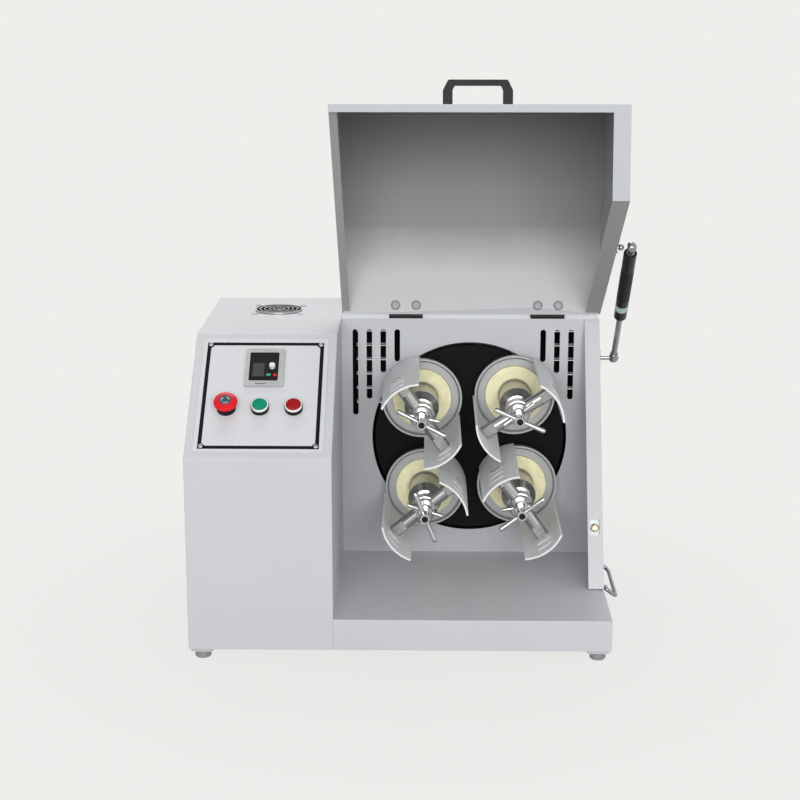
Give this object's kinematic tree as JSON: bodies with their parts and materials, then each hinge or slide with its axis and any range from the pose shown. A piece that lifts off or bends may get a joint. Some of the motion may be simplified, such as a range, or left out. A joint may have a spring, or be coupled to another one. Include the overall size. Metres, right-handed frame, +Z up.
{
  "type": "horizontal planetary ball mill",
  "caption": "Bench ball mill: a control cabinet beside an open milling chamber with a strut-held lid, where jars clamped in slotted arms spin on a turntable.",
  "frame": {"origin": "under the middle of the whole part's box, with the lid open, level with the feet's undersides", "axes": "+Z up, +Y to the back, +X to the right of someone who stands at the console"},
  "size_m": [0.7654, 0.634, 0.9532],
  "materials": {
    "powder_coat": "light grey fine textured powder coat",
    "chamber_coat": "light grey fine textured powder coat",
    "console_film": "pale film with a thin printed black border",
    "turntable_black": "satin black",
    "stainless": "polished stainless steel",
    "bright_steel": "machined steel",
    "holder_alloy": "satin aluminium",
    "jar_nylon": "cream nylon",
    "zinc": "zinc plated",
    "black_plastic": "black moulded",
    "black_steel": "black painted steel",
    "keypad_grey": "pale grey moulded",
    "knob_white": "white moulded",
    "key_green": "green rubber key",
    "key_red": "red rubber key",
    "stop_red": "red moulded",
    "start_green": "green moulded",
    "bezel": "satin chrome rings, black collar on the stop",
    "strut_black": "gloss black tube",
    "motor_grey": "grey painted casting",
    "cast_grey": "dark grey casting with a steel gear",
    "belt_rubber": "black flat belt",
    "foot_steel": "zinc plated foot"
  },
  "bodies": {
    "machine": {"base_pan": "powder_coat", "cabinet_shell": "powder_coat", "chamber_back_panel": "chamber_coat", "chamber_shell": "powder_coat", "rear_panel": "powder_coat", "cable_gland": "black_plastic", "feet": "foot_steel", "hinge_fixed_leaves": "black_steel", "strut_lower_stud": "zinc", "console_panel": "console_film", "panel_screws": "black_steel", "inverter_keypad": "keypad_grey", "button_bezels": "bezel", "cooling_fan": "black_plastic", "switch_housing": "zinc", "sun_gear_bracket": "cast_grey", "drive_motor": "motor_grey", "drive_belt": "belt_rubber"},
    "lid": {"lid_shell": "powder_coat", "lid_handle": "black_plastic", "hinge_lid_leaves": "zinc", "strut_upper_stud": "zinc"},
    "strut_lower": {"strut_rod": "stainless"},
    "strut_upper": {"strut_tube": "strut_black"},
    "turntable": {"turntable": "turntable_black"},
    "fan": {"fan_rotor": "black_plastic"},
    "motor_rotor": {"motor_pulley": "cast_grey"},
    "emergency_button": {"emergency_button": "stop_red"},
    "start_button": {"start_button": "start_green"},
    "stop_button": {"stop_button": "stop_red"},
    "keypad_knob": {"keypad_knob": "knob_white"},
    "keypad_run_key": {"keypad_run_key": "key_green"},
    "keypad_stop_key": {"keypad_stop_key": "key_red"},
    "switch_plunger": {"switch_plunger": "stainless"},
    "right_bail": {"right_bail": "stainless"},
    "left_bail": {"left_bail": "stainless"},
    "station_top_right": {"jar_holder_top_right": "holder_alloy", "grinding_jar_top_right": "jar_nylon", "crossbar_top_right": "bright_steel"},
    "cap_top_right": {"pressure_cap_top_right": "stainless"},
    "screw_top_right": {"clamp_screw_top_right": "stainless"},
    "lock_top_right": {"lock_handle_top_right": "bright_steel"},
    "station_top_left": {"jar_holder_top_left": "holder_alloy", "grinding_jar_top_left": "jar_nylon", "crossbar_top_left": "bright_steel"},
    "cap_top_left": {"pressure_cap_top_left": "stainless"},
    "screw_top_left": {"clamp_screw_top_left": "stainless"},
    "lock_top_left": {"lock_handle_top_left": "bright_steel"},
    "station_lower_left": {"jar_holder_lower_left": "holder_alloy", "grinding_jar_lower_left": "jar_nylon", "crossbar_lower_left": "bright_steel"},
    "cap_lower_left": {"pressure_cap_lower_left": "stainless"},
    "screw_lower_left": {"clamp_screw_lower_left": "stainless"},
    "lock_lower_left": {"lock_handle_lower_left": "bright_steel"},
    "station_lower_right": {"jar_holder_lower_right": "holder_alloy", "grinding_jar_lower_right": "jar_nylon", "crossbar_lower_right": "bright_steel"},
    "cap_lower_right": {"pressure_cap_lower_right": "stainless"},
    "screw_lower_right": {"clamp_screw_lower_right": "stainless"},
    "lock_lower_right": {"lock_handle_lower_right": "bright_steel"}
  },
  "joints": [
    {"name": "lid_hinge", "type": "hinge", "parent": "machine", "child": "lid", "pos_m": [0.11471, 0.09501, 0.518], "axis": [1, 0, 0], "range_deg": [0, 96.6]},
    {"name": "strut_swing", "type": "hinge", "parent": "machine", "child": "strut_lower", "pos_m": [0.37171, 0.09701, 0.443], "axis": [1, 0, 0], "range_deg": [0, 96.63]},
    {"name": "strut_stroke", "type": "slide", "parent": "strut_lower", "child": "strut_upper", "axis": [0, -0.6853, 0.7283], "range_m": [-0.11205, 0]},
    {"name": "turntable_spin", "type": "hinge", "parent": "machine", "child": "turntable", "pos_m": [0.11471, 0.09501, 0.2953], "axis": [0, -1, 0], "continuous": true},
    {"name": "motor_spin", "type": "hinge", "parent": "machine", "child": "motor_rotor", "pos_m": [-0.23529, 0.25901, 0.116], "axis": [0, -1, 0], "continuous": true},
    {"name": "fan_spin", "type": "hinge", "parent": "machine", "child": "fan", "pos_m": [-0.23329, 0.16901, 0.494], "axis": [0, 0, 1], "continuous": true},
    {"name": "emergency_push", "type": "slide", "parent": "machine", "child": "emergency_button", "axis": [0, 0.6059, -0.7955], "range_m": [0, 0.005], "stiffness_N_per_m": 900},
    {"name": "start_push", "type": "slide", "parent": "machine", "child": "start_button", "axis": [0, 0.6059, -0.7955], "range_m": [0, 0.0025], "stiffness_N_per_m": 500},
    {"name": "stop_push", "type": "slide", "parent": "machine", "child": "stop_button", "axis": [0, 0.6059, -0.7955], "range_m": [0, 0.0025], "stiffness_N_per_m": 500},
    {"name": "knob_turn", "type": "hinge", "parent": "machine", "child": "keypad_knob", "pos_m": [-0.22159, -0.11188, 0.4706], "axis": [0, -0.6059, 0.7955], "range_deg": [-135, 135]},
    {"name": "run_key_push", "type": "slide", "parent": "machine", "child": "keypad_run_key", "axis": [0, 0.6059, -0.7955], "range_m": [0, 0.0005], "stiffness_N_per_m": 300},
    {"name": "stop_key_push", "type": "slide", "parent": "machine", "child": "keypad_stop_key", "axis": [0, 0.6059, -0.7955], "range_m": [0, 0.0005], "stiffness_N_per_m": 300},
    {"name": "plunger_push", "type": "slide", "parent": "machine", "child": "switch_plunger", "axis": [0, 0.9037, -0.4281], "range_m": [0, 0.003], "stiffness_N_per_m": 400},
    {"name": "right_bail_fold", "type": "hinge", "parent": "machine", "child": "right_bail", "pos_m": [0.34971, -0.08099, 0.072], "axis": [0, -1, 0], "range_deg": [0, 128]},
    {"name": "left_bail_fold", "type": "hinge", "parent": "machine", "child": "left_bail", "pos_m": [-0.36029, -0.08099, 0.072], "axis": [0, 1, 0], "range_deg": [0, 128]},
    {"name": "station_spin_top_right", "type": "hinge", "parent": "turntable", "child": "station_top_right", "pos_m": [0.1942, 0.06301, 0.38115], "axis": [0, -1, 0], "continuous": true},
    {"name": "cap_lift_top_right", "type": "slide", "parent": "station_top_right", "child": "cap_top_right", "axis": [0, -1, 0], "range_m": [0, 0.006]},
    {"name": "clamp_turn_top_right", "type": "hinge", "parent": "cap_top_right", "child": "screw_top_right", "pos_m": [0.1942, 0.06301, 0.38115], "axis": [0, -1, 0], "range_deg": [0, 540.01]},
    {"name": "lock_turn_top_right", "type": "hinge", "parent": "station_top_right", "child": "lock_top_right", "pos_m": [0.1942, 0.06301, 0.38115], "axis": [0, -1, 0], "range_deg": [0, 90]},
    {"name": "station_spin_top_left", "type": "hinge", "parent": "turntable", "child": "station_top_left", "pos_m": [0.02886, 0.06301, 0.37479], "axis": [0, -1, 0], "continuous": true},
    {"name": "cap_lift_top_left", "type": "slide", "parent": "station_top_left", "child": "cap_top_left", "axis": [0, -1, 0], "range_m": [0, 0.006]},
    {"name": "clamp_turn_top_left", "type": "hinge", "parent": "cap_top_left", "child": "screw_top_left", "pos_m": [0.02886, 0.06301, 0.37479], "axis": [0, -1, 0], "range_deg": [0, 540.01]},
    {"name": "lock_turn_top_left", "type": "hinge", "parent": "station_top_left", "child": "lock_top_left", "pos_m": [0.02886, 0.06301, 0.37479], "axis": [0, -1, 0], "range_deg": [0, 90]},
    {"name": "station_spin_lower_left", "type": "hinge", "parent": "turntable", "child": "station_lower_left", "pos_m": [0.03521, 0.06301, 0.20945], "axis": [0, -1, 0], "continuous": true},
    {"name": "cap_lift_lower_left", "type": "slide", "parent": "station_lower_left", "child": "cap_lower_left", "axis": [0, -1, 0], "range_m": [0, 0.006]},
    {"name": "clamp_turn_lower_left", "type": "hinge", "parent": "cap_lower_left", "child": "screw_lower_left", "pos_m": [0.03521, 0.06301, 0.20945], "axis": [0, -1, 0], "range_deg": [0, 540.01]},
    {"name": "lock_turn_lower_left", "type": "hinge", "parent": "station_lower_left", "child": "lock_lower_left", "pos_m": [0.03521, 0.06301, 0.20945], "axis": [0, -1, 0], "range_deg": [0, 90]},
    {"name": "station_spin_lower_right", "type": "hinge", "parent": "turntable", "child": "station_lower_right", "pos_m": [0.20055, 0.06301, 0.2158], "axis": [0, -1, 0], "continuous": true},
    {"name": "cap_lift_lower_right", "type": "slide", "parent": "station_lower_right", "child": "cap_lower_right", "axis": [0, -1, 0], "range_m": [0, 0.006]},
    {"name": "clamp_turn_lower_right", "type": "hinge", "parent": "cap_lower_right", "child": "screw_lower_right", "pos_m": [0.20055, 0.06301, 0.2158], "axis": [0, -1, 0], "range_deg": [0, 540.01]},
    {"name": "lock_turn_lower_right", "type": "hinge", "parent": "station_lower_right", "child": "lock_lower_right", "pos_m": [0.20055, 0.06301, 0.2158], "axis": [0, -1, 0], "range_deg": [0, 90]}
  ],
  "couplings": [
    {"joint": "strut_swing", "follows": "lid_hinge", "ratio": 1.0002},
    {"joint": "strut_stroke", "follows": "lid_hinge", "m_per_rad": -0.066451},
    {"joint": "motor_spin", "follows": "turntable_spin", "ratio": 2.6316},
    {"joint": "station_spin_top_right", "follows": "turntable_spin", "ratio": 2},
    {"joint": "clamp_turn_top_right", "follows": "cap_lift_top_right", "rad_per_m": 1570.8},
    {"joint": "station_spin_top_left", "follows": "turntable_spin", "ratio": 2},
    {"joint": "clamp_turn_top_left", "follows": "cap_lift_top_left", "rad_per_m": 1570.8},
    {"joint": "station_spin_lower_left", "follows": "turntable_spin", "ratio": 2},
    {"joint": "clamp_turn_lower_left", "follows": "cap_lift_lower_left", "rad_per_m": 1570.8},
    {"joint": "station_spin_lower_right", "follows": "turntable_spin", "ratio": 2},
    {"joint": "clamp_turn_lower_right", "follows": "cap_lift_lower_right", "rad_per_m": 1570.8}
  ]
}
